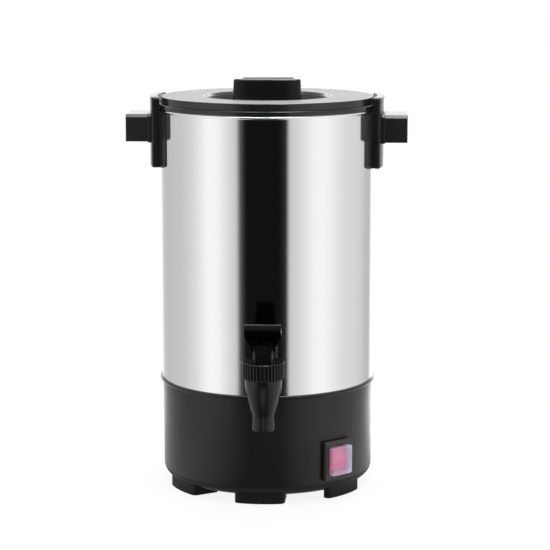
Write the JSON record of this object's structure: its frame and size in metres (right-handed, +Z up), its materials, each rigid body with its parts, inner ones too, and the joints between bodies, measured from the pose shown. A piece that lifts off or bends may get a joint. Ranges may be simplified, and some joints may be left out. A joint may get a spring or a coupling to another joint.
{
  "type": "coffee urn",
  "caption": "Percolating coffee urn with a brushed steel tank on a black base, lift-off lid, side handles, sprung lever tap and a lit rocker switch under a splash cover.",
  "frame": {"origin": "on the urn's axis at worktop height, midway under the ring of feet", "axes": "+Z up along the tank; -Y to the front, where the tap is; +X to the right handle seen from the front"},
  "size_m": [0.2478, 0.2494, 0.3619],
  "materials": {
    "body_plastic": "black, satin",
    "knob_plastic": "black, satin",
    "screw_steel": "stainless, bright",
    "tank_steel": "fine horizontal brushing, polished",
    "handle_plastic": "black, satin",
    "silicone": "soft, matt",
    "percolator_aluminium": "satin anodised",
    "disc_steel": "stainless, bright",
    "tap_plastic": "black, satin",
    "nut_steel": "zinc plated",
    "spring_steel": "stainless, bright",
    "lever_plastic": "black, satin",
    "base_plastic": "black, satin",
    "foot_plastic": "black, satin",
    "shield_steel": "galvanised",
    "plate_aluminium": "cast, matt",
    "element_sheath": "heat darkened",
    "phenolic": "brown phenolic",
    "fuse_case": "dull",
    "terminal_nylon": "ivory nylon",
    "brass_parts": "bright",
    "wire_brown": "insulation",
    "wire_black": "insulation",
    "wire_white": "glass braid sleeve",
    "wire_blue": "insulation",
    "wire_green": "green insulation with a yellow stripe",
    "bezel_plastic": "black, satin",
    "switch_nylon": "black nylon",
    "lamp_glass": "neon lamp",
    "rocker_red": "clear red, lit from inside",
    "cover_clear": "soft, milky clear",
    "inlet_plastic": "black",
    "blade_nickel": "nickel plated",
    "black_screws": "blackened"
  },
  "bodies": {
    "urn": {"tank": "tank_steel", "rim_collar": "body_plastic", "handle_left": "handle_plastic", "handle_right": "handle_plastic", "handle_screws": "screw_steel", "handle_washers": "silicone", "tap_body": "tap_plastic", "tap_outer_washer": "silicone", "tap_inner_washer": "silicone", "tap_nut": "nut_steel", "tap_bonnet": "tap_plastic", "valve_spring": "spring_steel", "lever_pin": "screw_steel", "base_shell": "base_plastic", "bottom_cover": "base_plastic", "feet": "foot_plastic", "base_screws": "screw_steel", "cover_screws": "screw_steel", "tank_pillars": "screw_steel", "heat_shield": "shield_steel", "shield_clips": "spring_steel", "element_plate": "plate_aluminium", "main_element": "element_sheath", "element_clamp": "shield_steel", "centre_stud": "screw_steel", "clamp_nut": "nut_steel", "keep_warm_element": "element_sheath", "thermostat": "phenolic", "thermostat_clip": "spring_steel", "thermal_fuse": "fuse_case", "fuse_strap": "shield_steel", "terminal_block": "terminal_nylon", "terminal_screws": "brass_parts", "live_wire": "wire_brown", "switched_wire": "wire_black", "link_wires": "wire_white", "neutral_wire": "wire_blue", "warm_wires": "wire_white", "earth_wire": "wire_green", "earth_screw": "screw_steel", "switch_bezel": "bezel_plastic", "switch_body": "switch_nylon", "switch_contacts": "brass_parts", "switch_lamp": "lamp_glass", "switch_cover": "cover_clear", "inlet_housing": "inlet_plastic", "inlet_blades": "blade_nickel", "inlet_screws": "black_screws"},
    "lid": {"lid": "body_plastic", "lid_knob": "knob_plastic", "knob_screws": "screw_steel"},
    "pump": {"pump_tube": "percolator_aluminium"},
    "disc": {"pump_valve": "disc_steel"},
    "basket": {"coffee_basket": "percolator_aluminium"},
    "spreader": {"basket_spreader": "percolator_aluminium"},
    "lever": {"tap_lever": "lever_plastic"},
    "valve": {"valve_stem": "screw_steel", "seat_cup": "silicone"},
    "rocker": {"rocker": "rocker_red"}
  },
  "joints": [
    {"name": "lid_lift", "type": "slide", "parent": "urn", "child": "lid", "axis": [0, 0, 1], "range_m": [0, 0.12]},
    {"name": "pump_lift", "type": "slide", "parent": "urn", "child": "pump", "axis": [0, 0, 1], "range_m": [0, 0.004]},
    {"name": "disc_lift", "type": "slide", "parent": "pump", "child": "disc", "axis": [0, 0, 1], "range_m": [0, 0.003]},
    {"name": "basket_lift", "type": "slide", "parent": "pump", "child": "basket", "axis": [0, 0, 1], "range_m": [0, 0.005]},
    {"name": "spreader_lift", "type": "slide", "parent": "basket", "child": "spreader", "axis": [0, 0, 1], "range_m": [0, 0.005]},
    {"name": "lever_tilt", "type": "hinge", "parent": "urn", "child": "lever", "pos_m": [0, -0.1335, 0.1475], "axis": [1, 0, 0], "range_deg": [0, 25], "stiffness_Nm_per_rad": 0.036, "springref_deg": -76.2},
    {"name": "valve_lift", "type": "slide", "parent": "urn", "child": "valve", "axis": [0, 0, 1], "range_m": [0, 0.00265], "deforming": ["valve_spring"]},
    {"name": "rocker_tilt", "type": "hinge", "parent": "urn", "child": "rocker", "pos_m": [0.06059, -0.06897, 0.0359], "axis": [0.7513, 0.66, 0], "range_deg": [-16, 0]}
  ],
  "couplings": [
    {"joint": "valve_lift", "follows": "lever_tilt", "m_per_rad": 0.006}
  ]
}
